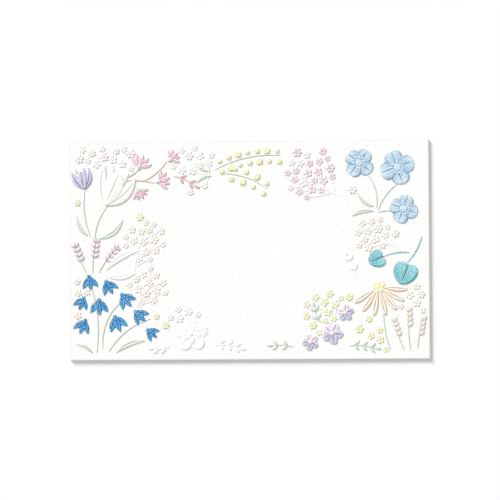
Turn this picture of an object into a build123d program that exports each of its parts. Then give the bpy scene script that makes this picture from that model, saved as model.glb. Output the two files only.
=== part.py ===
from build123d import *
from math import atan2, cos, degrees, pi, sin, sqrt
import os

# A greeting card: one flat leaf of thick cotton paper, with a border of flowers embossed in it.
# Millimetres. The card lies on its back, +Z out of the embossed face, +X along its long side,
# and the origin is at the middle of its back.

# The leaf of paper
card_length = 148.0
card_width = 90.0
paper_thickness = 0.8

# How far each level of the relief stands out of the face
stem_relief = 0.15
leaf_relief = 0.22
petal_relief = 0.3
centre_relief = 0.4

# How far a raised side draws in as it rises
wall_run = 0.2

# How much lower one edge of a petal lies than the other, where petals overlap in a ring
petal_step = 0.12

# The hollows that the die leaves behind the large petals: the wall round them, and their depth
hollow_wall = 0.7
hollow_depth = 0.3

# Stems, long leaves, and sprigs with pairs of small leaves, whose bare end is a share of their pitch
stem_width = 0.6
stem_fullness = 0.35
leaf_shape = 0.2
sprig_stem_width = 0.5
sprig_leaf_length = 3.0
sprig_leaf_width = 1.3
sprig_leaf_turn = 42
sprig_pitch = 3.4
sprig_bare_end = 0.3

# Bell flowers: three lobes below a cap
bell_turns = (-34, 0, 34)
bell_lobe_shape = 0.38
bell_cap = 0.85

# Lavender: pairs of buds up a stem
lavender_bud_length = 2.3
lavender_bud_width = 1.15
lavender_pitch = 2.0
lavender_turn = 48
lavender_pairs = 4

# Tulips: a cup petal between two side petals, and two tips behind
tulip_cup_length = 0.86
tulip_cup_shape = 0.53
tulip_side_shape = 0.3
tulip_side_turn = 24
tulip_side_bow = 0.1
tulip_tip_shape = 0.2
tulip_tip_turn = 12

# Fan flowers: narrow petals spread from a small cup
fan_turns = (-60, -30, 0, 30, 60)
fan_petal_length = 0.8
fan_petal_shape = 0.36
fan_cup_length = 2.8
fan_cup_width = 1.5

# Mimosa: round heads in pairs beside a stem
ball_radii = (1.25, 1.6, 1.1)
ball_sides = 8
ball_pitch = 3.9
ball_reach = 2.2

# Poppies: broad petals round a centre
poppy_petals = 4
poppy_petal_shape = 1.04
poppy_centre = 1.6

# Heart leaves: two lobes that run together
heart_turn = 19
heart_lobe_shape = 0.66

# Cone flower: long petals that hang from a beaded cone
cone_turns = (-162, -138, -114, -90, -66, -42, -18)
cone_petal_shape = 0.27
cone_petal_start = 0.75
cone_radius = 3.0
cone_bead = 0.6
cone_beads = 6

# Pansies: round petals and an eye
pansy_petals = 5
pansy_petal_shape = 0.82
pansy_eye = 0.8

# Rosette: two rings of broad petals round a bud
rosette_petals = 5
rosette_petal_shape = 0.84
rosette_inner = 0.55
rosette_bud = 0.9

# Florets: six small petals, their outline a blunt star
floret_petals = 6
floret_waist = 0.55

# Wheat: pairs of grains up a stem
grain_length = 2.8
grain_width = 1.25
grain_pitch = 2.0
grain_turn = 28
grain_pairs = 4

# Edges as small as these are cut in straight runs: how many a side, and how many round
leaf_facets = 4
stem_facets = 5
petal_facets = 5
bud_facets = 3
bead_sides = 6
disc_sides = 14

# How far a petal leans out of an oval: below 1, it is widest towards its end
petal_lean = 0.75


def at(x, y, turn=0.0):
    """A place in the border: a point, and the way that a form points from it."""
    return Location((x, y, 0), (0, 0, turn))


# Where the places below are measured from: the card's corners, and the middles of its sides
bottom_left = at(-card_length / 2, -card_width / 2)
bottom = at(0, -card_width / 2)
bottom_right = at(card_length / 2, -card_width / 2)
left = at(-card_length / 2, 0)
right = at(card_length / 2, 0)
top_left = at(-card_length / 2, card_width / 2)
top = at(0, card_width / 2)
top_right = at(card_length / 2, card_width / 2)

# Flowers: where from, x, y, turn and size
bells = (
    (bottom_left, 8.0, 34.5, -82, 5.8),
    (bottom_left, 15.0, 32.5, -62, 6.0),
    (bottom_left, 5.6, 25.8, -110, 5.4),
    (bottom_left, 21.5, 27.0, -52, 6.4),
    (bottom_left, 12.0, 25.0, -88, 6.6),
    (bottom_left, 27.0, 20.0, -44, 6.0),
    (bottom_left, 18.5, 18.0, -70, 6.8),
    (bottom_left, 6.2, 16.5, -112, 6.0),
    (bottom_left, 32.0, 12.5, -40, 5.2),
)
tulips = (
    (top_left, 15.0, -26.5, 66, 17.0),
    (top_left, 6.6, -19.5, 104, 9.0),
)
lavender = (
    (left, 7.0, -9.0, 112, 12.5),
    (left, 9.6, -9.5, 84, 14.0),
    (left, 12.0, -9.0, 54, 13.0),
)
fans = (
    (top, -45.0, -10.5, 70, 6.8),
    (top, -37.0, -16.5, 18, 6.2),
    (top, -45.5, -20.0, -58, 5.4),
    (top, -32.0, -7.5, 44, 5.2),
)
mimosa = (
    (top, -14.0, -12.0, 12, 28.0, 2.2),
    (top, -10.0, -13.5, -20, 19.0, 1.6),
)
poppies = (
    (top_right, -13.0, -11.5, 20, 7.2),
    (top_right, -28.5, -9.5, 52, 6.2),
    (top_right, -10.5, -28.5, 70, 6.0),
)
hearts = (
    (right, -8.5, -5.5, 250, 9.5),
    (right, -18.5, -2.5, 205, 7.0),
)
cone_flowers = (
    (bottom_right, -21.0, 29.5, 14, 9.6),
)
pansies = (
    (bottom_right, -40.0, 10.5, 10, 4.5),
    (bottom_right, -34.5, 19.0, 34, 3.5),
    (bottom_right, -49.0, 7.0, -14, 3.5),
)
rosettes = (
    (bottom, -24.0, 10.5, 18, 7.2),
)
wheat = (
    (bottom_right, -8.0, 3.5, 92, 17.0),
    (bottom_right, -5.0, 4.0, 80, 13.0),
    (bottom_right, -10.5, 3.5, 108, 13.5),
)
florets = (
    (top_left, 25.5, -5.0, 0, 2.0),
    (top_left, 19.5, -3.8, 20, 1.5),
    (top_left, 14.5, -6.2, 10, 2.0),
    (top_left, 4.2, -7.0, 15, 2.0),
    (top_left, 9.5, -4.6, 30, 1.7),
    (top_left, 3.3, -25.0, 0, 1.5),
    (top_left, 29.0, -31.0, 5, 1.9),
    (top_left, 33.0, -36.5, 25, 1.5),
    (top, -24.5, -6.0, 0, 2.0),
    (top, -20.0, -10.0, 20, 1.6),
    (top, -24.0, -21.0, 40, 1.5),
    (top, 20.0, -5.0, 0, 2.0),
    (top, 25.0, -9.5, 30, 1.6),
    (top, 30.5, -4.5, 15, 1.7),
    (top, 19.5, -12.5, 15, 1.6),
    (top, 33.5, -11.5, 5, 2.0),
    (top, 27.0, -16.5, 22, 1.5),
    (top_right, -31.5, -20.5, 0, 1.9),
    (right, -14.0, 6.5, 15, 1.8),
    (right, -21.0, 8.5, 0, 2.0),
    (right, -26.5, 4.0, 20, 1.6),
    (bottom_left, 3.0, 32.5, 15, 1.5),
    (bottom_left, 27.5, 33.5, 0, 1.6),
    (bottom_left, 31.5, 27.5, 10, 1.9),
    (bottom, -34.5, 14.5, 0, 1.8),
    (bottom, -38.5, 18.0, 20, 1.5),
    (bottom_right, -48.0, 14.0, 5, 1.8),
    (bottom_right, -33.0, 25.5, 30, 1.7),
    (bottom_right, -3.5, 26.5, 0, 1.7),
    (bottom_right, -29.0, 12.5, 0, 2.0),
    (bottom_right, -25.0, 16.5, 20, 1.6),
)

# Stems, long leaves and sprigs: where from, x, y, turn, length and bow to the left
stems = (
    (bottom_left, 11.0, 3.0, 97, 33.0, -2.2),
    (bottom_left, 13.5, 4.5, 62, 26.0, 4.0),
    (bottom_left, 16.0, 3.5, 38, 22.0, 2.2),
    (top_left, 10.5, -40.5, 70, 14.5, 1.2),
    (top_left, 9.0, -39.5, 97, 20.0, 1.5),
    (left, 7.0, -9.0, 112, 12.5, 0.5),
    (left, 9.6, -9.5, 84, 14.0, 0.5),
    (left, 12.0, -9.0, 54, 13.0, 0.5),
    (top, -52.5, -15.5, 30, 8.5, -0.8),
    (top, -52.5, -16.5, -3, 14.0, 0.8),
    (top, -43.5, -16.4, 40, 13.0, -1.0),
    (top, -14.0, -12.0, 12, 28.0, 2.2),
    (top, -10.0, -13.5, -20, 19.0, 1.6),
    (top_right, -21.0, -29.0, 52, 15.0, 1.2),
    (top_right, -21.5, -28.0, 104, 14.0, -1.4),
    (top_right, -21.0, -30.0, 6, 6.0, 0.5),
    (right, -3.0, 5.5, 240, 13.0, 1.0),
    (right, -8.0, -1.5, 188, 11.0, -0.8),
    (bottom_right, -16.0, 3.5, 100, 17.0, 0.9),
    (bottom_right, -8.0, 3.5, 92, 17.0, 0.5),
    (bottom_right, -5.0, 4.0, 80, 13.0, 0.5),
    (bottom_right, -10.5, 3.5, 108, 13.5, 0.5),
)
leaves = (
    (bottom_left, 9.5, 2.6, 150, 8.0, -1.0),
    (bottom_left, 19.0, 3.0, 22, 13.0, 1.6),
    (top_left, 12.0, -40.0, 38, 13.0, -1.6),
    (top_left, 8.0, -39.0, 120, 10.0, 1.3),
    (left, 15.0, -8.0, 30, 16.0, 1.8),
    (left, 14.5, -10.0, 4, 13.0, -1.2),
    (top, -15.5, -12.5, 150, 7.5, 1.0),
    (top, -15.0, -14.5, 205, 7.0, -1.0),
    (top_right, -22.5, -27.5, 140, 9.0, 1.2),
    (top_right, -22.5, -29.5, 192, 9.5, -1.2),
)
sprigs = (
    (top, -31.0, -14.5, -24, 10.0, 0.8),
    (bottom_right, -33.0, 5.5, -6, 11.0, 0.6),
    (bottom_right, -56.0, 5.0, 176, 9.0, -0.6),
    (bottom_right, -44.5, 15.0, 112, 7.5, 0.6),
    (bottom, -14.5, 6.0, -8, 11.0, 0.8),
    (bottom, -33.0, 5.5, 186, 7.0, 0.5),
    (right, -30.0, -11.0, 114, 9.5, -0.6),
)


class Leaf(BaseSketchObject):
    """A form pointed at both ends. The bow bends it to its left.

    A fullness of 1 makes its sides parabolas, and less keeps it wide nearer to its ends.
    """

    def __init__(
        self, length, width, bow=0.0, facets=leaf_facets, fullness=1.0, rotation=0.0, mode=Mode.ADD
    ):
        lower, upper = [], []
        for step in range(facets + 1):
            share = step / facets
            rise = 4 * share * (1 - share)
            half_width = width / 2 * rise ** fullness
            lower.append((length * share, bow * rise - half_width))
            upper.append((length * share, bow * rise + half_width))
        with BuildSketch() as leaf:
            with BuildLine():
                Polyline(*lower, *upper[-2:0:-1], close=True)
            make_face()
        super().__init__(leaf.sketch, rotation=rotation, align=None, mode=mode)


class Petal(BaseSketchObject):
    """A form with a narrow foot and a round end, an oval drawn out towards its foot."""

    def __init__(self, length, width, facets=petal_facets, rotation=0.0, mode=Mode.ADD):
        lower, upper = [], []
        for step in range(facets + 1):
            angle = pi * step / facets
            along = length * ((1 - cos(angle)) / 2) ** petal_lean
            lower.append((along, -width / 2 * sin(angle)))
            upper.append((along, width / 2 * sin(angle)))
        with BuildSketch() as petal:
            with BuildLine():
                Polyline(*lower, *upper[-2:0:-1], close=True)
            make_face()
        super().__init__(petal.sketch, rotation=rotation, align=None, mode=mode)


class Floret(BaseSketchObject):
    """A small flower's outline: a blunt star."""

    def __init__(self, radius, rotation=0.0, mode=Mode.ADD):
        corners = []
        for corner in range(2 * floret_petals):
            reach = radius * floret_waist if corner % 2 else radius
            corners.append(Vector(reach, 0).rotate(Axis.Z, 180 * corner / floret_petals))
        with BuildSketch() as floret:
            with BuildLine():
                Polyline(*corners, close=True)
            make_face()
        super().__init__(floret.sketch, rotation=rotation, align=None, mode=mode)


class Pad(BasePartObject):
    """A form that draws in as it rises.

    outline(run) draws it with its sides drawn in by a run, which is none at its foot. The width
    limits the run, and a step tilts the top, so that its left edge is higher than its right one.
    """

    def __init__(
        self, outline, height, width, step=0.0, rotation=(0, 0, 0), mode=Mode.ADD
    ):
        top = Plane.XY.offset(height - abs(step) / 2)
        with BuildPart() as pad:
            with BuildSketch():
                outline(0)
            with BuildSketch(top.rotated((degrees(atan2(step, width)), 0, 0))):
                outline(min(wall_run, width / 4))
            loft(ruled=True)
        super().__init__(pad.part, rotation=rotation, align=None, mode=mode)


# Each form that stands out of the face, and each hollow in the back, in its place
raised = []
hollowed = []


def raise_leaf(length, width, relief, bow=0.0, facets=leaf_facets, fullness=1.0):
    """A raised leaf, from its foot along the way that its place points."""
    def outline(run):
        share = sqrt(1 - (2 * run / width) ** (1 / fullness))
        with Locations((length * (1 - share) / 2, bow * (1 - share ** 2))):
            Leaf(length * share, width - 2 * run, bow * share ** 2, facets, fullness)
    raised.append(Pad(outline, relief, width, mode=Mode.PRIVATE))


def petal_outline(length, width):
    """How a petal is drawn, from its foot along the way that its place points."""
    def outline(run):
        with Locations((run, 0)):
            Petal(length - 2 * run, width - 2 * run)
    return outline


def raise_petal(length, width, relief, step=0.0):
    """A raised petal."""
    raised.append(Pad(petal_outline(length, width), relief, width, step, mode=Mode.PRIVATE))


def hollow_petal(length, width):
    """The hollow in the back behind a large petal, with a wall left round it."""
    length, width = length - 2 * hollow_wall, width - 2 * hollow_wall
    with Locations((hollow_wall, 0, -paper_thickness)):
        hollowed.append(
            Pad(petal_outline(length, width), hollow_depth, width, mode=Mode.PRIVATE)
        )


def raise_disc(radius, sides, relief):
    """A raised round form."""
    raised.append(
        Pad(lambda run: RegularPolygon(radius - run, sides), relief, radius, mode=Mode.PRIVATE)
    )


def floret(radius):
    """A small raised flower."""
    raised.append(Pad(lambda run: Floret(radius - run), leaf_relief, radius, mode=Mode.PRIVATE))


def bell(size):
    """Three lobes that hang from a cap."""
    for turn in bell_turns:
        with Locations(at(0, 0, turn)):
            raise_leaf(size, size * bell_lobe_shape, leaf_relief if turn else petal_relief)
    raise_disc(bell_cap, bead_sides, centre_relief)


def tulip(size):
    """Two tips behind, two side petals, and a cup petal between them."""
    for side in (-1, 1):
        with Locations(at(0, 0, side * tulip_tip_turn)):
            raise_leaf(size, size * tulip_tip_shape, leaf_relief)
        with Locations(at(0, 0, side * tulip_side_turn)):
            raise_leaf(size, size * tulip_side_shape, petal_relief, side * size * tulip_side_bow)
    length = size * tulip_cup_length
    raise_petal(length, length * tulip_cup_shape, centre_relief)
    hollow_petal(length, length * tulip_cup_shape)


def bud_spike(pairs, length, pitch, turn, bud_length, bud_width):
    """Pairs of buds down from the top of a stem, and one that ends it."""
    top_pair = length - bud_length / 2
    places = [at(top_pair, 0)]
    for pair in range(pairs):
        places += [at(top_pair - pair * pitch, 0, side * turn) for side in (-1, 1)]
    with Locations(*places):
        raise_leaf(bud_length, bud_width, petal_relief, facets=bud_facets)


def fan(size):
    """Narrow petals spread from a small cup."""
    length = size * fan_petal_length
    for number, turn in enumerate(fan_turns):
        with Locations(at(0, 0, turn)):
            raise_leaf(length, length * fan_petal_shape, leaf_relief if number % 2 else petal_relief)
    with Locations(at(-fan_cup_length / 2, 0)):
        raise_leaf(fan_cup_length, fan_cup_width, centre_relief, facets=bud_facets)


def mimosa_heads(length, bow):
    """Round heads in pairs beside a curved stem."""
    pairs = int(length / ball_pitch)
    for pair in range(1, pairs + 1):
        share = pair / pairs
        rise = bow * 4 * share * (1 - share)
        for side in (-1, 1):
            radius = ball_radii[(pair + side) % len(ball_radii)]
            with Locations(at(length * share - ball_radii[0], rise + side * ball_reach)):
                raise_disc(radius, ball_sides, petal_relief)


def poppy(size):
    """Broad petals round a centre."""
    with PolarLocations(0, poppy_petals):
        raise_petal(size, size * poppy_petal_shape, petal_relief, petal_step)
        hollow_petal(size, size * poppy_petal_shape)
    raise_disc(poppy_centre, disc_sides, centre_relief)


def heart(size):
    """Two lobes that run together to the leaf's tip, each lower towards the vein between them."""
    tip = at(size, 0, 180)
    for side in (-1, 1):
        with Locations(tip * at(0, 0, side * heart_turn)):
            raise_petal(size, size * heart_lobe_shape, petal_relief, side * petal_step)
            hollow_petal(size, size * heart_lobe_shape)


def cone_flower(size):
    """Long petals that hang from below a low cone with beads on it."""
    foot = at(cone_radius * cone_petal_start, 0)
    with Locations(*[at(0, 0, turn) * foot for turn in cone_turns]):
        raise_petal(size, size * cone_petal_shape, petal_relief)
    raise_disc(cone_radius, disc_sides, petal_relief)
    raise_disc(cone_bead, bead_sides, centre_relief)
    with PolarLocations(cone_radius - 2 * cone_bead, cone_beads):
        raise_disc(cone_bead, bead_sides, centre_relief)


def pansy(size):
    """Round petals and an eye."""
    with PolarLocations(0, pansy_petals, start_angle=-90):
        raise_petal(size, size * pansy_petal_shape, petal_relief, petal_step)
    raise_disc(pansy_eye, bead_sides, centre_relief)


def rosette_ring(size, relief):
    """A ring of broad petals."""
    with PolarLocations(0, rosette_petals):
        raise_petal(size, size * rosette_petal_shape, relief, petal_step)


def rosette(size):
    """Two rings of petals, the inner one turned by half a petal, and a bud."""
    rosette_ring(size, leaf_relief)
    with Locations(at(0, 0, 180 / rosette_petals)):
        rosette_ring(size * rosette_inner, petal_relief)
    raise_disc(rosette_bud, bead_sides, centre_relief)


def stem(length, bow, width=stem_width):
    """A thin curved stem."""
    raise_leaf(length, width, stem_relief, bow, stem_facets, stem_fullness)


def sprig(length, bow):
    """Pairs of small leaves along a curved stem, and one that ends it."""
    stem(length, bow, sprig_stem_width)
    places = [at(length - sprig_leaf_length / 4, 0)]
    pairs = int(length / sprig_pitch)
    for pair in range(pairs):
        share = (pair + 1) / (pairs + sprig_bare_end)
        rise = bow * 4 * share * (1 - share)
        foot = length * share - sprig_leaf_length / 2
        places += [at(foot, rise, side * sprig_leaf_turn) for side in (-1, 1)]
    with Locations(*places):
        raise_leaf(sprig_leaf_length, sprig_leaf_width, leaf_relief, facets=bud_facets)


with BuildPart() as card:
    with BuildSketch():
        Rectangle(card_length, card_width)
    extrude(amount=paper_thickness)

    with Locations((0, 0, paper_thickness)):
        for corner, x, y, turn, length, bow in stems:
            with Locations(corner * at(x, y, turn)):
                stem(length, bow)
        for corner, x, y, turn, length, bow in leaves:
            with Locations(corner * at(x, y, turn)):
                raise_leaf(length, length * leaf_shape, leaf_relief, bow)
        for corner, x, y, turn, length, bow in sprigs:
            with Locations(corner * at(x, y, turn)):
                sprig(length, bow)
        for corner, x, y, turn, length in lavender:
            with Locations(corner * at(x, y, turn)):
                bud_spike(
                    lavender_pairs, length, lavender_pitch, lavender_turn,
                    lavender_bud_length, lavender_bud_width,
                )
        for corner, x, y, turn, length in wheat:
            with Locations(corner * at(x, y, turn)):
                bud_spike(grain_pairs, length, grain_pitch, grain_turn, grain_length, grain_width)
        for corner, x, y, turn, length, bow in mimosa:
            with Locations(corner * at(x, y, turn)):
                mimosa_heads(length, bow)
        for flowers, flower in (
            (bells, bell), (tulips, tulip), (fans, fan), (poppies, poppy), (hearts, heart),
            (cone_flowers, cone_flower), (pansies, pansy), (rosettes, rosette), (florets, floret),
        ):
            for corner, x, y, turn, size in flowers:
                with Locations(corner * at(x, y, turn)):
                    flower(size)

    add(raised)
    add(hollowed, mode=Mode.SUBTRACT)

card.part.label = "card"
os.makedirs("parts", exist_ok=True)
export_step(card.part, "parts/card.step")
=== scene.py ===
from math import atan2, cos, degrees, exp, pi, radians, sin, sqrt

import bmesh
import bpy
from mathutils import Matrix, Vector


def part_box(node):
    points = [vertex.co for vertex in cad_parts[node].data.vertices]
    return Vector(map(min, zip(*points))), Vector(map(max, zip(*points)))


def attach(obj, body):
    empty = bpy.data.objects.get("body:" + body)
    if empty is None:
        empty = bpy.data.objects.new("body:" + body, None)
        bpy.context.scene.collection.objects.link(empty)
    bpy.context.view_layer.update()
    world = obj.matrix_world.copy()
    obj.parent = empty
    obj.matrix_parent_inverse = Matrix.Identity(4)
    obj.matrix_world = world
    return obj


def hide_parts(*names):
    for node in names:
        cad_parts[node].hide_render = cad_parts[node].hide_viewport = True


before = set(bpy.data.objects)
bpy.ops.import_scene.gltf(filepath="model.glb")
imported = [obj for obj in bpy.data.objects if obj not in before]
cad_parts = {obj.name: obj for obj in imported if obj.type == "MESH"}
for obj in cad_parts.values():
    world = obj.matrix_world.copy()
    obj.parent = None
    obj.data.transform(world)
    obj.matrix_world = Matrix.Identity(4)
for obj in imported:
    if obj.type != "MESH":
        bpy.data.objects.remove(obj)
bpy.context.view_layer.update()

# A greeting card of thick cotton paper, with a border of flowers embossed and printed on it.
# Sizes here are in millimetres, as in the part's source. Each finished mesh is scaled to metres.

MM = 0.001
card_low, card_high = (Vector(corner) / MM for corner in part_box("card"))

paper_thickness = 0.8
edge_softness = 0.09
rim_width = 0.4

# How high the forms stand, and how much higher one side of a tilted petal is than the other
stem_relief = 0.15
leaf_relief = 0.22
petal_relief = 0.3
centre_relief = 0.4
petal_step = 0.12

# The hollows in the back: how much of a petal is left round one, and how deep it is
hollow_wall = 0.7
hollow_depth = 0.3

# How soon a petal widens from its foot, and how well a stem keeps its width to its ends
petal_lean = 0.75
stem_fullness = 0.35

# A form's wall: how wide it is, the share of a narrow form that it may take, how round it is,
# and how much steeper it is at the form's ends
wall_run = 0.32
wall_share = 0.6
wall_roundness = 2.2
end_steepness = 1.5

# How much lower a form is at its sides than in its middle
side_fall = 0.24

# The crease down a form: its width, how suddenly it ends, and how much painted shade darkens the
# ink in it
crease_width = 0.15
crease_end = 0.6
crease_painted_shade = 1.9

# How far a form's foot is sunk in the face, so that its mesh closes out of sight
foot_depth = 0.08

# Shares and lengths under this count as nothing, and points of a form this close together as one
nothing = 1e-6
same_point = 1e-5

# The bump of the paper's felt: its height, and how strong the fine fibres are in it
felt_height = 0.09
fibre_share = 0.4

# The photograph's frame: its width, the camera's height, how far it stands to the right,
# how far it is turned in degrees, and the point on the card that it looks at
view_width = 205.6
view_height = 750.0
view_right = 24.0
view_turn = -0.4
aim = (0.45, 0.03)


# ---- Nodes

def compute(nodes, links, operation, *values):
    """A sum on some values, each of which is a number or a socket."""
    node = nodes.new("ShaderNodeMath")
    node.operation = operation
    for value, socket in zip(values, node.inputs):
        if isinstance(value, (float, int)):
            socket.default_value = value
        else:
            links.new(value, socket)
    return node.outputs[0]


# ---- Camera and light

def add_camera():
    """Looks straight down on the card, from a little to its right, as the photograph does."""
    data = bpy.data.cameras.new("camera")
    data.sensor_width = 36
    data.lens = data.sensor_width * view_height / view_width
    data.clip_start = 0.01
    camera = bpy.data.objects.new("camera", data)
    spot = Vector((view_right, 0, view_height))
    back = (spot - Vector((*aim, 0))).normalized()
    up = back.cross(Vector((1, 0, 0))).normalized()
    look = Matrix((up.cross(back), up, back)).transposed()
    look = look @ Matrix.Rotation(radians(view_turn), 3, "Z")
    camera.matrix_world = Matrix.Translation(spot * MM) @ look.to_4x4()
    bpy.context.scene.collection.objects.link(camera)
    bpy.context.scene.camera = camera


def add_key_lamp(share, elevation, turn, softness):
    """A low lamp, turned to the left of the card's top, with this share of a flat face's light.

    The angles are in degrees, and the softness is how wide the lamp looks from the card.
    """
    data = bpy.data.lights.new("key_lamp", "SUN")
    data.energy = share * pi / sin(radians(elevation))
    data.angle = radians(softness)
    lamp = bpy.data.objects.new("key_lamp", data)
    rise, turn = radians(elevation), radians(turn)
    beam = Vector((cos(rise) * sin(turn), -cos(rise) * cos(turn), -sin(rise)))
    lamp.rotation_euler = beam.to_track_quat("-Z", "Y").to_euler()
    bpy.context.scene.collection.objects.link(lamp)


def add_room_light(share):
    """Even light from all round. The camera, and what shines, see a white room."""
    world = bpy.data.worlds.new("white_room")
    bpy.context.scene.world = world
    world.use_nodes = True
    nodes, links = world.node_tree.nodes, world.node_tree.links
    nodes.clear()
    rays = nodes.new("ShaderNodeLightPath").outputs
    seen = compute(nodes, links, "MAXIMUM", rays["Is Camera Ray"], rays["Is Glossy Ray"])
    seen = compute(nodes, links, "MAXIMUM", seen, rays["Is Transmission Ray"])
    strength = nodes.new("ShaderNodeMapRange")
    strength.inputs["To Min"].default_value = share
    strength.inputs["To Max"].default_value = 1.0
    links.new(seen, strength.inputs["Value"])
    room = nodes.new("ShaderNodeBackground")
    room.inputs["Color"].default_value = (1, 1, 1, 1)
    links.new(strength.outputs["Result"], room.inputs["Strength"])
    output = nodes.new("ShaderNodeOutputWorld")
    links.new(room.outputs["Background"], output.inputs["Surface"])


# ---- Paper and ink

def tint(red, green, blue):
    """A colour as it is read off a print, 0 to 255, made linear."""
    return tuple(
        (c / 12.92 if c <= 0.04045 else ((c + 0.055) / 1.055) ** 2.4)
        for c in (red / 255, green / 255, blue / 255)
    ) + (1.0,)


def new_finish(name, roughness, shine=0.12):
    """A plain surface, ready for its colour and its grain."""
    finish = bpy.data.materials.new(name)
    finish.use_nodes = True
    shader = finish.node_tree.nodes["Principled BSDF"]
    shader.inputs["Roughness"].default_value = roughness
    shader.inputs["Specular IOR Level"].default_value = shine
    return finish, finish.node_tree.nodes, finish.node_tree.links, shader


def noise(nodes, links, spot, size, detail=3.0):
    """A cloudy pattern whose patches are about this many millimetres across."""
    cloud = nodes.new("ShaderNodeTexNoise")
    cloud.inputs["Scale"].default_value = 1 / (size * MM)
    cloud.inputs["Detail"].default_value = detail
    links.new(spot.outputs["Object"], cloud.inputs["Vector"])
    return cloud.outputs["Fac"]


def felt_grain(nodes, links, spot, shader, strength):
    """The paper's soft felt marks, and the fine fibres in them."""
    marks = noise(nodes, links, spot, 1.5)
    fibres = noise(nodes, links, spot, 0.55, detail=2.0)
    height = compute(nodes, links, "MULTIPLY_ADD", fibres, fibre_share, marks)
    bump = nodes.new("ShaderNodeBump")
    bump.inputs["Strength"].default_value = strength
    bump.inputs["Distance"].default_value = felt_height * MM
    links.new(height, bump.inputs["Height"])
    links.new(bump.outputs["Normal"], shader.inputs["Normal"])


def ramp(nodes, links, source, stops):
    """Colours, or shares, laid out over a value."""
    node = nodes.new("ShaderNodeValToRGB")
    while len(node.color_ramp.elements) < len(stops):
        node.color_ramp.elements.new(0.5)
    for element, (place, colour) in zip(node.color_ramp.elements, stops):
        element.position = place
        element.color = colour if isinstance(colour, tuple) else (colour, colour, colour, 1)
    links.new(source, node.inputs["Fac"])
    return node.outputs["Color"]


def blend(nodes, links, share, first, second, kind="MIX"):
    """Two colours mixed by a share, which is a number or a socket."""
    node = nodes.new("ShaderNodeMix")
    node.data_type = "RGBA"
    node.blend_type = kind
    for value, end in ((share, "Factor"), (first, "A"), (second, "B")):
        socket = node.inputs[end]
        if isinstance(value, (float, tuple)):
            socket.default_value = value
        else:
            links.new(value, socket)
    return node.outputs["Result"]


def cotton_paper():
    """Bare paper, a warm white with soft felt marks."""
    finish, nodes, links, shader = new_finish("cotton_paper", 0.82)
    spot = nodes.new("ShaderNodeTexCoord")
    clouds = noise(nodes, links, spot, 9.0)
    marks = noise(nodes, links, spot, 1.0)
    whites = ((0.3, tint(252.5, 252.5, 250.5)), (0.7, tint(254, 254, 252.5)))
    shades = ((0.36, tint(250, 250, 249)), (0.52, tint(255, 255, 255)))
    colour = blend(
        nodes, links, 1.0, ramp(nodes, links, clouds, whites), ramp(nodes, links, marks, shades),
        "MULTIPLY",
    )
    links.new(colour, shader.inputs["Base Color"])
    felt_grain(nodes, links, spot, shader, 0.6)
    return finish


def cut_edge(name, shade, depth=5, warmth=3):
    """The paper's cut edge, or the band round the edge of its face: a little darker than its face.
    """
    finish, nodes, links, shader = new_finish(name, 0.85)
    spot = nodes.new("ShaderNodeTexCoord")
    fibres = noise(nodes, links, spot, 0.3)
    dark, light = (tint(level, level, level - warmth) for level in (shade - depth, shade))
    colour = ramp(nodes, links, fibres, ((0.3, dark), (0.7, light)))
    links.new(colour, shader.inputs["Base Color"])
    felt_grain(nodes, links, spot, shader, 0.4)
    return finish


def veins_over(nodes, links, across, along, count):
    """Thin lines up a petal from its foot, which fade before its end."""
    wave = compute(nodes, links, "SINE", compute(nodes, links, "MULTIPLY", across, 2 * pi * count))
    lines = ramp(nodes, links, wave, ((0.55, 0.0), (1.0, 0.7)))
    near_foot = ramp(nodes, links, along, ((0.15, 1.0), (0.75, 0.0)))
    return compute(nodes, links, "MULTIPLY", lines, near_foot)


def ink(
    name, shade_and_vein_ink, body, pale, tooth, veins=0, bare=(250, 250, 248), mottled=0.92, side_painted_shade=0.0,
):
    """A printed form, paler to its end, with painted shade in the shade colour at the foot of its
    walls and in its creases.

    Tooth is how far the bare colour comes through in the worn specks, mottled is how bright the
    darkest patches stay, and the share given for the sides is how much painted shade darkens them.
    The shade colour also draws the veins. The form's attribute holds how far along it a point lies,
    how far across, and how far it is clear of the painted shade, up its wall and out of its crease.
    """
    finish, nodes, links, shader = new_finish(name, 0.5)
    spot = nodes.new("ShaderNodeTexCoord")
    form = nodes.new("ShaderNodeAttribute")
    form.attribute_name = "form"
    parts = nodes.new("ShaderNodeSeparateColor")
    links.new(form.outputs["Color"], parts.inputs["Color"])
    along, across, wall = (parts.outputs[part] for part in ("Red", "Green", "Blue"))
    colour = ramp(nodes, links, along, ((0.25, tint(*body)), (1.0, tint(*pale))))
    if veins:
        drawn = veins_over(nodes, links, across, along, veins)
        colour = blend(nodes, links, drawn, colour, tint(*shade_and_vein_ink))
    patches = noise(nodes, links, spot, 0.9)
    mottle = ramp(nodes, links, patches, ((0.35, mottled), (0.6, 1.0)))
    colour = blend(nodes, links, 1.0, colour, mottle, "MULTIPLY")
    specks = noise(nodes, links, spot, 0.5, detail=1.0)
    worn = ramp(nodes, links, specks, ((0.48, 0.0), (0.64, tooth)))
    colour = blend(nodes, links, worn, colour, tint(*bare))
    # Painted shade: the shade colour darkens the form's sides.
    if side_painted_shade:
        stops = ((0.0, side_painted_shade), (0.2, 0.0), (0.8, 0.0), (1.0, side_painted_shade))
        colour = blend(nodes, links, ramp(nodes, links, across, stops), colour, tint(*shade_and_vein_ink))
    # Painted shade: the shade colour darkens the foot of each wall and the crease, where shade
    # falls.
    clear_of_painted_shade = ramp(nodes, links, wall, ((0.15, 0.0), (0.8, 1.0)))
    colour = blend(nodes, links, clear_of_painted_shade, tint(*shade_and_vein_ink), colour)
    links.new(colour, shader.inputs["Base Color"])
    felt_grain(nodes, links, spot, shader, 0.3)
    return finish


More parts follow.
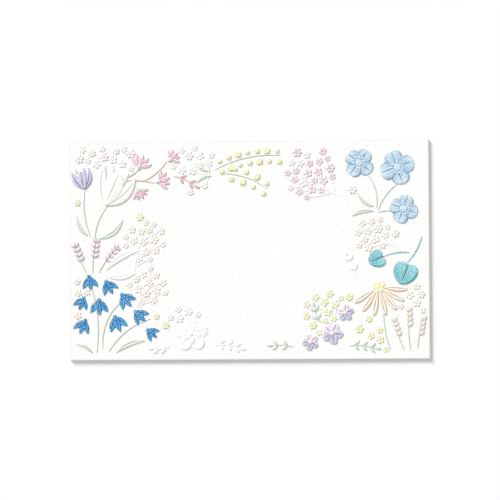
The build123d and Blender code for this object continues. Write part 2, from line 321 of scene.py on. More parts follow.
inks = {
    "bare": cotton_paper(),
    "rim": cut_edge("darker_face_rim", 240),
    "cut": cut_edge("cut_edge", 222),
    "bright_blue": ink(
        "bright_blue", (0, 14, 52), (28, 146, 228), (84, 186, 244), 0.8,
        bare=(184, 234, 255), mottled=0.5, side_painted_shade=1.0,
    ),
    "pale_blue": ink(
        "pale_blue", (30, 74, 120), (174, 218, 248), (216, 242, 255), 0.8,
        veins=5, mottled=0.8, side_painted_shade=0.45,
    ),
    "ice_blue": ink("ice_blue", (96, 134, 172), (206, 228, 244), (230, 240, 248), 0.6),
    "teal": ink(
        "teal", (16, 80, 94), (114, 208, 221), (146, 220, 229), 0.6,
        veins=3, mottled=0.79, side_painted_shade=0.4,
    ),
    "deep_teal": ink("deep_teal", (16, 66, 80), (36, 104, 118), (50, 120, 132), 0.2),
    "violet": ink(
        "violet", (82, 76, 126), (208, 203, 234), (220, 214, 240), 0.6,
        veins=2, mottled=0.84,
    ),
    "lilac": ink("lilac", (126, 88, 122), (248, 224, 243), (251, 238, 249), 0.6, mottled=0.92),
    "pink": ink("pink", (162, 78, 112), (254, 220, 233), (255, 240, 245), 0.65, mottled=0.9),
    "rose": ink("rose", (150, 62, 98), (250, 192, 214), (252, 218, 231), 0.6, mottled=0.88),
    "blush": ink("blush", (194, 176, 174), (254, 246, 244), (254, 251, 249), 0.5, mottled=0.99),
    "ivory": ink("ivory", (204, 200, 196), (253, 251, 247), (253, 253, 251), 0.2, mottled=0.98),
    "yellow": ink("yellow", (206, 197, 128), (252, 249, 192), (252, 251, 224), 0.5, mottled=0.92),
    "cream": ink("cream", (206, 200, 146), (252, 250, 204), (252, 251, 232), 0.5, mottled=0.96),
    "orange": ink("orange", (188, 138, 90), (254, 241, 219), (254, 248, 236), 0.5, mottled=0.95),
    "peach": ink("peach", (196, 172, 152), (254, 246, 236), (254, 251, 245), 0.5, mottled=0.99),
    "green": ink("green", (124, 146, 126), (232, 244, 230), (244, 250, 242), 0.5, mottled=0.95),
    "stalk": ink("stalk", (132, 140, 126), (212, 222, 206), (226, 233, 220), 0.3),
    "twig": ink("twig", (136, 100, 76), (224, 196, 170), (234, 212, 192), 0.3),
}
ink_names = list(inks)


# ---- Forms that stand out of the face

def at(x, y, turn=0.0):
    """A place in the border: a point, and the way that a form points from it."""
    return Matrix.Translation((x, y, 0)) @ Matrix.Rotation(radians(turn), 4, "Z")


card_middle = (card_low + card_high) / 2
bottom_left = at(card_low.x, card_low.y)
bottom = at(card_middle.x, card_low.y)
bottom_right = at(card_high.x, card_low.y)
left = at(card_low.x, card_middle.y)
right = at(card_high.x, card_middle.y)
top_left = at(card_low.x, card_high.y)
top = at(card_middle.x, card_high.y)
top_right = at(card_high.x, card_high.y)

# Where a form's lines run, from one side to the other: close at its walls and at its crease
wide_lines = (
    -1, -0.975, -0.94, -0.88, -0.78, -0.6, -0.4, -0.22, -0.12, -0.05,
    0, 0.05, 0.12, 0.22, 0.4, 0.6, 0.78, 0.88, 0.94, 0.975, 1,
)
narrow_lines = (-1, -0.9, -0.75, -0.5, -0.2, 0, 0.2, 0.5, 0.75, 0.9, 1)


def arch(share):
    """An arch over a length: 0 at its ends and 1 in its middle."""
    return 4 * share * (1 - share)


def leaf_outline(length, width, bow=0.0, fullness=1.0):
    """Pointed at both ends. Gives a place on the middle line, and the half width there."""
    def outline(share):
        return length * share, bow * arch(share), width / 2 * arch(share) ** fullness
    return outline


def petal_outline(length, width):
    """With a narrow foot and a round end."""
    def outline(share):
        return length * share ** petal_lean, 0, width * sqrt(share * (1 - share))
    return outline


def raise_form(
    spray, spot, outline, relief, colour, crease=0.0, step=0.0, rows=12, lines=wide_lines,
):
    """Raises a form: a sheet shaped to the outline, with rounded walls and a crease down it.

    A step makes its right edge lower than its left one by so much, and the other way round below 0.
    """
    bm = new_spray()
    grid = bmesh.ops.create_grid(bm, x_segments=rows, y_segments=len(lines) - 1, size=1)["verts"]
    form = bm.verts.layers.float_color["form"]
    end = outline(1)[0]
    widest = max(outline(part / 10)[2] for part in range(11))
    wall = min(wall_run, wall_share * widest)
    for vert in grid:
        share = (1 - cos(pi * (vert.co.x + 1) / 2)) / 2
        across = lines[round((vert.co.y + 1) / 2 * (len(lines) - 1))]
        x, middle, half = outline(share)
        to_side = max((1 - abs(across)) * half, nothing)
        to_end = max(min(x, end - x) * end_steepness, nothing)
        inward = 1 / sqrt(1 / to_side ** 2 + 1 / to_end ** 2)
        up = 1 - (1 - min(inward / wall, 1)) ** wall_roundness
        groove = crease * exp(-(across * half / crease_width) ** 2) * sin(pi * share) ** crease_end
        height = relief * up * (1 - side_fall + side_fall * (1 - across ** 2) - groove)
        height -= up * (abs(step) / 2 - step * across / 2)
        foot = abs(across) == 1 or share < nothing or share > 1 - nothing
        vert.co = (x, middle + across * half, -foot_depth if foot else height)
        # Painted shade: the third channel is low at the wall's foot and in the crease, where the
        # ink is darkened as if in shade.
        vert[form] = (share, (across + 1) / 2, up * max(0, 1 - crease_painted_shade * groove), 1)
    close_form(spray, bm, spot, colour)


def raise_dome(spray, spot, radius, relief, colour, segments=16):
    """Raises a round form with a flattish top."""
    flatness, shade_fade = 0.7, 1.6
    bm = new_spray()
    ball = bmesh.ops.create_uvsphere(bm, u_segments=segments, v_segments=12, radius=1)["verts"]
    form = bm.verts.layers.float_color["form"]
    for vert in ball:
        height = max(vert.co.z, 0) ** flatness
        # Painted shade: the ink darkens towards the dome's foot, where shade falls, and clears as
        # it rises.
        vert[form] = (min(vert.co.xy.length, 1), 0.5, min(1, shade_fade * height), 1)
        vert.co.xy *= radius
        vert.co.z = relief * height if vert.co.z > -nothing else -foot_depth
    close_form(spray, bm, spot, colour)


# A floret from its rim to its bead: how far out, how high, and how far its ink is clear of painted
# shade
floret_profile = (
    (0.985, 0.15, 0.1), (0.94, 0.7, 0.5), (0.86, 0.95, 1.2), (0.62, 1.0, 1.4),
    (0.36, 0.65, 1.0), (0.3, 0.5, 0.3), (0.22, 0.95, 0.7), (0.1, 1.1, 1.0),
)


def raise_floret(spray, spot, radius, relief, colour, petals=6, waist=0.55):
    """Raises a small flower: a lobed ring drawn in as it rises, valleys between petals, a bead."""
    corners_a_petal, bead_share, valley_height, outer_curve, inner_curve = 8, 0.3, 0.55, 0.6, 0.5
    bm = new_spray()
    ring = bmesh.ops.create_circle(bm, segments=petals * corners_a_petal, radius=radius)["verts"]
    form = bm.verts.layers.float_color["form"]
    for vert in ring:
        turn = Vector((1, 0)).angle_signed(vert.co.xy, 0)
        vert.co.xy *= waist + (1 - waist) * abs(cos(petals * turn / 2)) ** outer_curve
        vert.co.z = -foot_depth
        vert[form] = (1, 0.5, 0, 1)
    edges = list(bm.edges)
    low = 1.0
    for scale, height, up in floret_profile:
        grown = bmesh.ops.extrude_edge_only(bm, edges=edges)["geom"]
        edges = [item for item in grown if isinstance(item, bmesh.types.BMEdge)]
        for vert in (item for item in grown if isinstance(item, bmesh.types.BMVert)):
            turn = Vector((1, 0)).angle_signed(vert.co.xy, 0)
            valley = 1
            if scale >= bead_share:
                lobe = abs(cos(petals * turn / 2)) ** inner_curve
                valley = valley_height + (1 - valley_height) * lobe
            vert.co.xy *= scale / low
            vert.co.z = relief * height * valley
            # Painted shade: the ink is darker at the foot, in the valleys between petals and in the
            # dip before the bead.
            vert[form] = (scale, 0.5, min(1, up * valley), 1)
        low = scale
    bmesh.ops.contextual_create(bm, geom=edges)
    close_form(spray, bm, spot, colour)


def close_form(spray, bm, spot, colour):
    """Joins what meets in a form's mesh, closes its foot, and adds it to a spray at its place."""
    bmesh.ops.remove_doubles(bm, verts=bm.verts, dist=same_point)
    rim = [edge for edge in bm.edges if edge.is_boundary]
    if rim:
        bmesh.ops.contextual_create(bm, geom=rim)
    for face in bm.faces:
        face.material_index = ink_names.index(colour)
        face.smooth = True
    bmesh.ops.recalc_face_normals(bm, faces=bm.faces)
    on_face = Matrix.Translation((0, 0, paper_thickness)) @ spot
    bmesh.ops.transform(bm, matrix=on_face, verts=bm.verts)
    made = bpy.data.meshes.new("form")
    bm.to_mesh(made)
    bm.free()
    spray.from_mesh(made)
    bpy.data.meshes.remove(made)


def finish_piece(bm, name):
    """Makes a piece of a mesh in millimetres. It rides with the card, whose solid it stands for."""
    bmesh.ops.scale(bm, vec=(MM, MM, MM), verts=bm.verts)
    mesh = bpy.data.meshes.new(name)
    used = sorted({face.material_index for face in bm.faces})
    for face in bm.faces:
        face.material_index = used.index(face.material_index)
    bm.to_mesh(mesh)
    bm.free()
    for number in used:
        mesh.materials.append(inks[ink_names[number]])
    piece = bpy.data.objects.new(name, mesh)
    bpy.context.scene.collection.objects.link(piece)
    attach(piece, "root")
    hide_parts("card")
    return piece


def new_spray():
    """An empty mesh that a spray's forms go into."""
    bm = bmesh.new()
    bm.verts.layers.float_color.new("form")
    return bm


# ---- Stems, leaves and sprigs

def stem(bm, spot, length, bow, colour, width=0.6):
    """A thin curved stem."""
    raise_form(
        bm, spot, leaf_outline(length, width, bow, stem_fullness), stem_relief, colour,
        rows=20, lines=narrow_lines,
    )


def blade(bm, spot, length, bow, colour):
    """A long leaf with a crease down it."""
    outline = leaf_outline(length, length * 0.2, bow)
    raise_form(bm, spot, outline, leaf_relief, colour, crease=0.5, rows=18)


def bud(bm, spot, length, width, colour, relief=petal_relief):
    """A bud, a grain or a small leaf."""
    outline = leaf_outline(length, width)
    raise_form(bm, spot, outline, relief, colour, crease=0.4, rows=10, lines=narrow_lines)


def sprig(bm, spot, length, bow, stem_colour, leaf_colour):
    """Pairs of small leaves along a curved stem, and one that ends it."""
    leaf_length, leaf_width, leaf_turn, pitch = 3.0, 1.3, 42, 3.4
    stem(bm, spot, length, bow, stem_colour, width=0.5)
    places = [at(length - leaf_length / 4, 0)]
    pairs = int(length / pitch)
    for pair in range(pairs):
        share = (pair + 1) / (pairs + 0.3)
        foot = length * share - leaf_length / 2
        places += [at(foot, bow * arch(share), side * leaf_turn) for side in (-1, 1)]
    for place in places:
        bud(bm, spot @ place, leaf_length, leaf_width, leaf_colour, leaf_relief)


def bud_spike(bm, spot, length, turn, bud_length, bud_width, colour, pairs=4, pitch=2.0):
    """Pairs of buds down from the top of a stem, and one that ends it."""
    top_pair = length - bud_length / 2
    for pair in range(pairs):
        for side in (-1, 1):
            place = at(top_pair - pair * pitch, 0, side * turn)
            bud(bm, spot @ place, bud_length, bud_width, colour)
    bud(bm, spot @ at(top_pair, 0), bud_length, bud_width, colour)


def bead_rings(bm, spot, rings, relief, colour, segments):
    """Rings of beads, each given as its radius, how many beads it has and how large they are."""
    for reach, beads, radius in rings:
        for bead in range(beads):
            place = spot @ at(0, 0, 360 * bead / beads) @ at(reach, 0)
            raise_dome(bm, place, radius, relief, colour, segments)


def twig(bm, corner, start, end, colour):
    """A thin twig from one point to another, unless they are close together."""
    shortest, width, bow = 1.5, 0.42, 0.05
    way = end - start
    if way.length > shortest:
        turn = degrees(atan2(way.y, way.x))
        outline = leaf_outline(way.length, width, bow * way.length, stem_fullness)
        raise_form(
            bm, corner @ at(start.x, start.y, turn), outline, 0.8 * stem_relief, colour,
            lines=narrow_lines,
        )


def branch(bm, corner, root, tip, flowers, colour):
    """A thin branch, and a twig from it to each of the flowers."""
    root, tip = Vector(root), Vector(tip)
    way = (tip - root).normalized()
    twig(bm, corner, root, tip, colour)
    for x, y, radius in flowers:
        flower = Vector((x, y))
        reach = flower - root
        along = reach.dot(way) - abs(reach.cross(way))
        fork = root + way * min(max(along, 0), (tip - root).length)
        twig(bm, corner, fork, flower, colour)


# Where the flowers and leaves stand that have hollows behind them: a point, their turn and size
tulips = ((15.0, -26.5, 66, 17.0), (6.6, -19.5, 104, 9.0))
poppies = ((-13.0, -11.5, 20, 7.2), (-28.5, -9.5, 52, 6.2), (-10.5, -28.5, 70, 6.0))
hearts = ((-8.5, -5.5, 250, 9.5), (-18.5, -2.5, 205, 7.0))

# Their petals: the length of a tulip's front one in its size, the widths in their lengths,
# and how far each lobe of a heart is turned
tulip_length, tulip_width = 0.86, 0.53
poppy_width = 1.04
heart_width, heart_turn = 0.66, 19


# ---- The sprays of the border, each a piece

def bell_spray():
    """Blue bells on arching stems, with two long leaves."""
    bm = new_spray()
    for x, y, turn, length, bow in (
        (11.0, 3.0, 97, 33.0, -2.2), (13.5, 4.5, 62, 26.0, 4.0), (16.0, 3.5, 38, 22.0, 2.2),
    ):
        stem(bm, bottom_left @ at(x, y, turn), length, bow, "stalk")
    for x, y, turn, length, bow in ((9.5, 2.6, 150, 8.0, -1.0), (19.0, 3.0, 22, 13.0, 1.6)):
        blade(bm, bottom_left @ at(x, y, turn), length, bow, "green")
    for x, y, turn, size in (
        (8.0, 34.5, -82, 5.8), (15.0, 32.5, -62, 6.0), (5.6, 25.8, -110, 5.4),
        (21.5, 27.0, -52, 6.4), (12.0, 25.0, -88, 6.6), (27.0, 20.0, -44, 6.0),
        (18.5, 18.0, -70, 6.8), (6.2, 16.5, -112, 6.0), (32.0, 12.5, -40, 5.2),
    ):
        spot = bottom_left @ at(x, y, turn)
        for lobe in (-34, 34, 0):
            raise_form(
                bm, spot @ at(0, 0, lobe), leaf_outline(size, size * 0.38),
                leaf_relief if lobe else petal_relief, "bright_blue", crease=0.5, rows=14,
            )
        raise_dome(bm, spot, 0.85, centre_relief, "bright_blue")
    return finish_piece(bm, "bell_spray")


def tulip_spray():
    """A large ivory tulip and a small violet one, with two long leaves."""
    bm = new_spray()
    for x, y, turn, length, bow in ((10.5, -40.5, 70, 14.5, 1.2), (9.0, -39.5, 97, 20.0, 1.5)):
        stem(bm, top_left @ at(x, y, turn), length, bow, "stalk")
    for x, y, turn, length, bow in ((12.0, -40.0, 38, 13.0, -1.6), (8.0, -39.0, 120, 10.0, 1.3)):
        blade(bm, top_left @ at(x, y, turn), length, bow, "green")
    for (x, y, turn, size), colour in zip(tulips, ("ivory", "violet")):
        spot = top_left @ at(x, y, turn)
        for side in (-1, 1):
            raise_form(
                bm, spot @ at(0, 0, side * 12), leaf_outline(size, size * 0.2),
                leaf_relief, colour, crease=0.5,
            )
            raise_form(
                bm, spot @ at(0, 0, side * 24), leaf_outline(size, size * 0.3, side * size * 0.1),
                petal_relief, colour, crease=0.5, rows=16,
            )
        length = size * tulip_length
        front = petal_outline(length, length * tulip_width)
        raise_form(bm, spot, front, centre_relief, colour, crease=0.45, rows=22)
    return finish_piece(bm, "tulip_spray")


def lavender_spray():
    """Lilac buds up three stems."""
    bm = new_spray()
    for x, y, turn, length in (
        (7.0, -9.0, 112, 12.5), (9.6, -9.5, 84, 14.0), (12.0, -9.0, 54, 13.0),
    ):
        spot = left @ at(x, y, turn)
        stem(bm, spot, length, 0.5, "stalk")
        bud_spike(bm, spot, length, 48, 2.3, 1.15, "lilac")
    for x, y, turn, length, bow in ((15.0, -8.0, 30, 16.0, 1.8), (14.5, -10.0, 4, 13.0, -1.2)):
        blade(bm, left @ at(x, y, turn), length, bow, "bare")
    return finish_piece(bm, "lavender_spray")


def fan_branch():
    """Pink fan flowers on a branch, and a sprig of rose leaves."""
    bm = new_spray()
    for x, y, turn, length, bow in (
        (-52.5, -15.5, 30, 8.5, -0.8), (-52.5, -16.5, -3, 14.0, 0.8),
        (-43.5, -16.4, 40, 13.0, -1.0),
    ):
        stem(bm, top @ at(x, y, turn), length, bow, "twig")
    sprig(bm, top @ at(-31.0, -14.5, -24), 10.0, 0.8, "twig", "rose")
    for x, y, turn, size in (
        (-45.0, -10.5, 70, 6.8), (-37.0, -16.5, 18, 6.2), (-45.5, -20.0, -58, 5.4),
        (-32.0, -7.5, 44, 5.2),
    ):
        spot = top @ at(x, y, turn)
        length = size * 0.8
        for petal in (-30, 30, -60, 60, 0):
            between = petal in (-30, 30)
            raise_form(
                bm, spot @ at(0, 0, petal), leaf_outline(length, length * 0.36),
                leaf_relief if between else petal_relief, "rose" if between else "pink",
                crease=0.4,
            )
        bud(bm, spot @ at(-1.4, 0), 2.8, 1.5, "green", centre_relief)
    return finish_piece(bm, "fan_branch")


def mimosa_spray():
    """Round yellow heads in pairs beside two stems, with two long leaves."""
    bm = new_spray()
    radii, reach, pitch = (1.25, 1.6, 1.1), 2.2, 3.9
    for x, y, turn, length, bow in (
        (-14.0, -12.0, 12, 28.0, 2.2), (-10.0, -13.5, -20, 19.0, 1.6),
    ):
        spot = top @ at(x, y, turn)
        stem(bm, spot, length, bow, "stalk")
        pairs = int(length / pitch)
        for pair in range(1, pairs + 1):
            share = pair / pairs
            for side in (-1, 1):
                radius = radii[(pair + side) % len(radii)]
                head = spot @ at(length * share - radii[0], bow * arch(share) + side * reach)
                raise_dome(bm, head, radius, petal_relief, "yellow")
                rings = ((0, 1, 0.29 * radius), (0.62 * radius, 6, 0.29 * radius))
                bead_rings(bm, head, rings, 1.2 * petal_relief, "yellow", 8)
    for x, y, turn, length, bow in (
        (-15.5, -12.5, 150, 7.5, 1.0), (-15.0, -14.5, 205, 7.0, -1.0),
    ):
        blade(bm, top @ at(x, y, turn), length, bow, "green")
    return finish_piece(bm, "mimosa_spray")


def poppy_spray():
    """Pale blue poppies, with two long leaves."""
    bm = new_spray()
    for x, y, turn, length, bow in (
        (-21.0, -29.0, 52, 15.0, 1.2), (-21.5, -28.0, 104, 14.0, -1.4),
        (-21.0, -30.0, 6, 6.0, 0.5),
    ):
        stem(bm, top_right @ at(x, y, turn), length, bow, "stalk")
    for x, y, turn, length, bow in (
        (-22.5, -27.5, 140, 9.0, 1.2), (-22.5, -29.5, 192, 9.5, -1.2),
    ):
        blade(bm, top_right @ at(x, y, turn), length, bow, "green")
    for x, y, turn, size in poppies:
        spot = top_right @ at(x, y, turn)
        for petal in range(4):
            raise_form(
                bm, spot @ at(0, 0, 90 * petal), petal_outline(size, size * poppy_width),
                petal_relief, "pale_blue", crease=0.5, step=petal_step, rows=20,
            )
        raise_dome(bm, spot, 1.6, 0.8 * centre_relief, "ice_blue", 20)
        rings = ((0, 1, 0.45), (0.95, 6, 0.42), (2.3, 11, 0.36))
        bead_rings(bm, spot, rings, centre_relief, "ice_blue", 10)
    return finish_piece(bm, "poppy_spray")


def heart_leaves():
    """Two teal leaves, each of two lobes that are lower towards the vein between them."""
    bm = new_spray()
    for x, y, turn, length, bow in ((-3.0, 5.5, 240, 13.0, 1.0), (-8.0, -1.5, 188, 11.0, -0.8)):
        stem(bm, right @ at(x, y, turn), length, bow, "teal")
    for x, y, turn, size in hearts:
        tip = right @ at(x, y, turn) @ at(size, 0, 180)
        for side in (-1, 1):
            raise_form(
                bm, tip @ at(0, 0, side * heart_turn), petal_outline(size, size * heart_width),
                petal_relief, "teal", crease=0.2, step=side * petal_step, rows=20,
            )
        vein = leaf_outline(size * 0.85, 0.6)
        raise_form(bm, tip @ at(size * 0.1, 0), vein, petal_relief, "deep_teal", lines=narrow_lines)
    return finish_piece(bm, "heart_leaves")


def cone_flower():
    """Long orange petals that hang from below a beaded cone."""
    bm = new_spray()
    stem(bm, bottom_right @ at(-16.0, 3.5, 100), 17.0, 0.9, "stalk")
    spot = bottom_right @ at(-21.0, 29.5, 14)
    length = 9.6
    for petal in (-162, -18, -138, -42, -114, -66, -90):
        raise_form(
            bm, spot @ at(0, 0, petal) @ at(2.25, 0), petal_outline(length, length * 0.27),
            petal_relief, "orange", crease=0.5, rows=18,
        )
    raise_dome(bm, spot, 3.0, petal_relief, "yellow", 28)
    bead_rings(bm, spot, ((0, 1, 0.6), (1.8, 6, 0.6)), centre_relief, "yellow", 12)
    return finish_piece(bm, "cone_flower")


def pansy_spray():
    """Violet and lilac pansies, with three sprigs."""
    bm = new_spray()
    for x, y, turn, length, bow in (
        (-33.0, 5.5, -6, 11.0, 0.6), (-56.0, 5.0, 176, 9.0, -0.6), (-44.5, 15.0, 112, 7.5, 0.6),
    ):
        sprig(bm, bottom_right @ at(x, y, turn), length, bow, "stalk", "green")
    for x, y, turn, size in (
        (-40.0, 10.5, 10, 4.5), (-34.5, 19.0, 34, 3.5), (-49.0, 7.0, -14, 3.5),
    ):
        spot = bottom_right @ at(x, y, turn)
        for petal in range(5):
            raise_form(
                bm, spot @ at(0, 0, 72 * petal - 90), petal_outline(size, size * 0.82),
                petal_relief, "violet" if petal in (0, 1, 4) else "lilac",
                crease=0.45, step=petal_step, rows=14,
            )
        raise_dome(bm, spot, 0.8, centre_relief, "yellow", 14)
    return finish_piece(bm, "pansy_spray")


def blind_rosette():
    """A rosette and two sprigs, embossed and not printed."""
    bm = new_spray()
    spot = bottom @ at(-24.0, 10.5, 18)
    outer_size = 7.2
    for size, relief, turn in (
        (outer_size, leaf_relief, 0), (0.55 * outer_size, petal_relief, 36),
    ):
        for petal in range(5):
            raise_form(
                bm, spot @ at(0, 0, 72 * petal + turn), petal_outline(size, size * 0.84),
                relief, "bare", crease=0.3, step=petal_step, rows=18,
            )
    raise_dome(bm, spot, 0.9, centre_relief, "bare", 14)
    for x, y, turn, length, bow in ((-14.5, 6.0, -8, 11.0, 0.8), (-33.0, 5.5, 186, 7.0, 0.5)):
        sprig(bm, bottom @ at(x, y, turn), length, bow, "bare", "bare")
    return finish_piece(bm, "blind_rosette")


def wheat_spray():
    """Peach grains up three stems, and a blind sprig above them."""
    bm = new_spray()
    for x, y, turn, length in (
        (-8.0, 3.5, 92, 17.0), (-5.0, 4.0, 80, 13.0), (-10.5, 3.5, 108, 13.5),
    ):
        spot = bottom_right @ at(x, y, turn)
        stem(bm, spot, length, 0.5, "stalk")
        bud_spike(bm, spot, length, 28, 2.8, 1.25, "peach")
    sprig(bm, right @ at(-30.0, -11.0, 114), 9.5, -0.6, "bare", "bare")
    return finish_piece(bm, "wheat_spray")


def florets():
    """Small pale flowers, in groups round the border."""
    bm = new_spray()
    for corner, colour, flowers in (
        (top_left, "blush", (
            (25.5, -5.0, 0, 2.0), (19.5, -3.8, 20, 1.5), (14.5, -6.2, 10, 2.0),
            (4.2, -7.0, 15, 2.0), (9.5, -4.6, 30, 1.7),
        )),
        (top_left, "cream", (
            (29.0, -31.0, 5, 1.9), (33.0, -36.5, 25, 1.5), (3.3, -25.0, 0, 1.5),
        )),
        (top, "ivory", ((-24.5, -6.0, 0, 2.0), (-20.0, -10.0, 20, 1.6), (-24.0, -21.0, 40, 1.5))),
        (top, "pink", ((20.0, -5.0, 0, 2.0), (25.0, -9.5, 30, 1.6), (30.5, -4.5, 15, 1.7))),
        (top, "lilac", ((19.5, -12.5, 15, 1.6), (33.5, -11.5, 5, 2.0), (27.0, -16.5, 22, 1.5))),
        (top_right, "blush", ((-31.5, -20.5, 0, 1.9),)),
        (right, "peach", ((-14.0, 6.5, 15, 1.8), (-21.0, 8.5, 0, 2.0), (-26.5, 4.0, 20, 1.6))),
        (bottom_left, "peach", (
            (3.0, 32.5, 15, 1.5), (27.5, 33.5, 0, 1.6), (31.5, 27.5, 10, 1.9),
        )),
        (bottom, "cream", ((-34.5, 14.5, 0, 1.8), (-38.5, 18.0, 20, 1.5))),
        (bottom_right, "yellow", (
            (-48.0, 14.0, 5, 1.8), (-33.0, 25.5, 30, 1.7), (-29.0, 12.5, 0, 2.0),
            (-25.0, 16.5, 20, 1.6),
        )),
        (bottom_right, "peach", ((-3.5, 26.5, 0, 1.7),)),
    ):
        for x, y, turn, radius in flowers:
            raise_floret(bm, corner @ at(x, y, turn), radius, leaf_relief, colour)
    return finish_piece(bm, "florets")


def faint_florets():
    """Fainter flowers in clumps between the sprays, some on thin branches.

    A clump has the corner that it is measured from, the colours that its flowers take in turn,
    the colour, root and tip of its branch, and each flower's place and radius.
    """
    bm = new_spray()
    for corner, colours, branch_colour, root, tip, flowers in (
        (top_left, ("ivory",), None, None, None, (
            (18.2, -7.3, 1.9), (11.4, -9.1, 1.9), (22.0, -9.1, 1.9), (5.6, -3.1, 1.7),
            (13.8, -2.9, 1.5), (7.8, -7.5, 1.5), (22.8, -3.1, 1.5), (25.6, -10.9, 1.5),
        )),
        (left, ("blush", "peach"), "bare", (27.0, -8.5), (33.0, 13.0), (
            (30.8, 4.0, 1.9), (35.0, 4.6, 1.9), (31.4, -0.2, 1.9), (26.6, 4.4, 1.9),
            (29.6, 8.0, 1.7), (35.6, 0.2, 1.7), (25.8, 8.8, 1.7), (37.8, 8.0, 1.7),
            (28.6, -3.2, 1.7), (31.6, 11.6, 1.5), (38.4, 2.6, 1.5), (23.2, 2.4, 1.5),
            (33.2, -3.4, 1.35), (34.8, 11.0, 1.35), (23.2, 5.8, 1.35),
        )),
        (top, ("ivory",), "bare", (-16.0, -13.5), (-30.0, -11.0), (
            (-23.2, -12.2, 1.9), (-20.0, -6.0, 1.9), (-27.4, -11.8, 1.9), (-16.4, -9.2, 1.7),
            (-18.2, -18.2, 1.7), (-15.2, -5.8, 1.5), (-27.4, -3.8, 1.5), (-22.2, -2.8, 1.5),
            (-30.8, -10.4, 1.35),
        )),
        (top, ("lilac", "pink", "blush"), "bare", (38.5, -23.5), (16.5, -9.0), (
            (24.4, -13.6, 1.9), (28.6, -13.0, 1.9), (22.6, -17.4, 1.9), (30.8, -16.6, 1.9),
            (26.0, -20.2, 1.9), (21.4, -9.4, 1.7), (29.0, -8.8, 1.7), (18.8, -16.0, 1.7),
            (24.0, -6.0, 1.7), (20.8, -21.0, 1.7), (29.8, -20.6, 1.5), (17.8, -9.2, 1.5),
            (16.0, -13.4, 1.5), (34.4, -15.0, 1.5), (17.2, -19.4, 1.35), (23.8, -23.4, 1.35),
            (32.4, -7.6, 1.35),
        )),
        (right, ("peach",), "bare", (-13.5, 1.0), (-29.5, 9.5), (
            (-25.2, 7.6, 1.9), (-22.2, 4.2, 1.9), (-25.0, 0.8, 1.9), (-29.2, 7.0, 1.7),
            (-23.8, 11.4, 1.7), (-18.2, 5.8, 1.7), (-27.6, 10.8, 1.7), (-28.8, 1.8, 1.5),
            (-19.2, 1.6, 1.5), (-20.2, 12.2, 1.35), (-17.2, 9.2, 1.35),
        )),
        (right, ("peach",), None, None, None, (
            (-5.4, -22.0, 1.9), (-8.2, -18.8, 1.9), (-5.4, -15.2, 1.7), (-3.0, -25.0, 1.5),
            (-11.8, -23.4, 1.35),
        )),
        (bottom_right, ("cream", "yellow"), "green", (-36.0, 10.0), (-45.0, 26.0), (
            (-42.2, 19.4, 1.9), (-43.2, 23.6, 1.9), (-39.0, 22.6, 1.9), (-50.6, 17.8, 1.7),
            (-46.8, 25.6, 1.7), (-41.0, 27.0, 1.7), (-50.6, 22.6, 1.7), (-39.2, 16.8, 1.5),
            (-45.6, 11.0, 1.5), (-43.0, 15.8, 1.35), (-36.4, 25.2, 1.35),
        )),
        (bottom_right, ("yellow",), None, None, None, (
            (-20.4, 8.0, 1.9), (-24.2, 9.6, 1.7), (-20.6, 11.8, 1.5), (-18.2, 4.0, 1.35),
        )),
        (bottom, ("ivory",), None, None, None, (
            (-28.8, 17.0, 1.9), (-25.2, 19.8, 1.9), (-29.4, 21.0, 1.7), (-32.6, 17.6, 1.5),
            (-21.2, 18.6, 1.35),
        )),
        (bottom_left, ("peach",), "bare", (27.5, 19.0), (34.0, 37.0), (
            (32.8, 31.9, 1.9), (28.0, 29.3, 1.9), (35.8, 28.7, 1.9), (30.4, 35.3, 1.7),
            (35.6, 34.9, 1.7), (34.6, 24.7, 1.7), (38.4, 31.9, 1.7), (29.8, 24.3, 1.5),
            (24.6, 31.1, 1.5), (33.4, 37.9, 1.35), (39.4, 27.7, 1.35),
        )),
        (bottom_left, ("peach",), None, None, None, (
            (3.2, 18.6, 1.9), (3.4, 27.8, 1.7), (7.0, 28.0, 1.5),
        )),
    ):
        for number, (x, y, radius) in enumerate(flowers):
            colour = colours[number % len(colours)]
            any_turn = 37 * x
            raise_floret(
                bm, corner @ at(x, y, any_turn), radius, 0.8 * leaf_relief, colour,
                petals=5, waist=0.5,
            )
        if root:
            branch(bm, corner, root, tip, flowers, branch_colour)
    return finish_piece(bm, "faint_florets")


def hollow_die():
    """The die that presses the hollows: a low plug for each large petal, in the petal's shape."""
    petals = [
        (top_left @ at(x, y, turn), size * tulip_length, tulip_width, (0,))
        for x, y, turn, size in tulips
    ] + [
        (top_right @ at(x, y, turn), size, poppy_width, (0, 90, 180, 270))
        for x, y, turn, size in poppies
    ] + [
        (right @ at(x, y, turn) @ at(size, 0, 180), size, heart_width, (-heart_turn, heart_turn))
        for x, y, turn, size in hearts
    ]
    bm = new_spray()
    for spot, size, shape, turns in petals:
        length, width = size - 2 * hollow_wall, size * shape - 2 * hollow_wall
        for turn in turns:
            plug = bmesh.ops.create_uvsphere(bm, u_segments=32, v_segments=12, radius=0.5)["verts"]
            for vert in plug:
                depth = hollow_depth * min(1, 2 * abs(vert.co.z)) ** 0.5
                vert.co.x = length * (vert.co.x + 0.5) ** petal_lean
                vert.co.y *= width
                vert.co.z = depth if vert.co.z > 0 else -depth
            place = spot @ at(0, 0, turn) @ at(hollow_wall, 0)
            bmesh.ops.transform(bm, matrix=place, verts=plug)
    bmesh.ops.scale(bm, vec=(MM, MM, MM), verts=bm.verts)
    mesh = bpy.data.meshes.new("die")
    bm.to_mesh(mesh)
    bm.free()
    die = bpy.data.objects.new("die", mesh)
    bpy.context.scene.collection.objects.link(die)
    return die


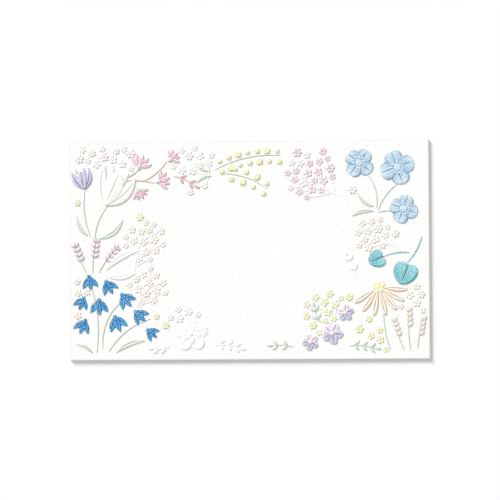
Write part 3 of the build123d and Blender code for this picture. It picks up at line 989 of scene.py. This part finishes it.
def press_hollows(sheet):
    """Presses the hollows into the sheet's back, and clears the slivers that the cut leaves."""
    die = hollow_die()
    press = sheet.modifiers.new("press", "BOOLEAN")
    press.object = die
    press.operation = "DIFFERENCE"
    press.solver = "EXACT"
    press.use_self = True
    pressed = sheet.evaluated_get(bpy.context.evaluated_depsgraph_get())
    sheet.data = bpy.data.meshes.new_from_object(pressed)
    sheet.modifiers.clear()
    bpy.data.objects.remove(die)
    sliver = 0.0001 * MM
    bm = bmesh.new()
    bm.from_mesh(sheet.data)
    bmesh.ops.remove_doubles(bm, verts=bm.verts, dist=sliver)
    loose_ends = [vert for vert in bm.verts if len(vert.link_edges) == 2]
    bmesh.ops.dissolve_verts(bm, verts=loose_ends)
    bmesh.ops.dissolve_degenerate(bm, edges=bm.edges, dist=sliver)
    bm.to_mesh(sheet.data)
    bm.free()


def paper_sheet():
    """The leaf of paper, with softly cut edges and a darker band round the edge of its face."""
    upright, smallest_face = 0.9, 100
    bm = bmesh.new()
    bmesh.ops.create_cube(bm, size=1)
    size = (card_high.x - card_low.x, card_high.y - card_low.y, paper_thickness)
    middle = (card_middle.x, card_middle.y, paper_thickness / 2)
    bmesh.ops.scale(bm, vec=size, verts=bm.verts)
    bmesh.ops.translate(bm, vec=middle, verts=bm.verts)
    bmesh.ops.bevel(
        bm, geom=list(bm.edges), offset=edge_softness, segments=3, profile=0.5, affect="EDGES",
        material=-1,
    )
    for face in bm.faces:
        flat = abs(face.normal.z) >= upright
        face.material_index = ink_names.index("bare" if flat else "cut")
    front = [
        face for face in bm.faces if face.normal.z > upright and face.calc_area() > smallest_face
    ]
    rim = bmesh.ops.inset_region(bm, faces=front, thickness=rim_width, use_even_offset=True)
    for face in rim["faces"]:
        face.material_index = ink_names.index("rim")
    sheet = finish_piece(bm, "paper_sheet")
    press_hollows(sheet)
    return sheet


def add_floor():
    """The white table that the card lies on."""
    bm = bmesh.new()
    reach, drop = 2000, 0.01
    bmesh.ops.create_grid(bm, x_segments=1, y_segments=1, size=reach * MM)
    bmesh.ops.translate(bm, vec=(0, 0, -drop * MM), verts=bm.verts)
    mesh = bpy.data.meshes.new("table_top")
    bm.to_mesh(mesh)
    bm.free()
    finish, _, _, shader = new_finish("table_top", 1.0, shine=0.0)
    shader.inputs["Base Color"].default_value = tint(253, 253, 253)
    mesh.materials.append(finish)
    table = bpy.data.objects.new("table_top", mesh)
    bpy.context.scene.collection.objects.link(table)


add_camera()
add_key_lamp(share=0.47, elevation=18, turn=38.5, softness=17)
add_room_light(share=0.55)
paper_sheet()
for make_spray in (
    bell_spray, tulip_spray, lavender_spray, fan_branch, mimosa_spray, poppy_spray,
    heart_leaves, cone_flower, pansy_spray, blind_rosette, wheat_spray, florets, faint_florets,
):
    make_spray()
add_floor()

scene = bpy.context.scene
scene.view_settings.view_transform = "Standard"
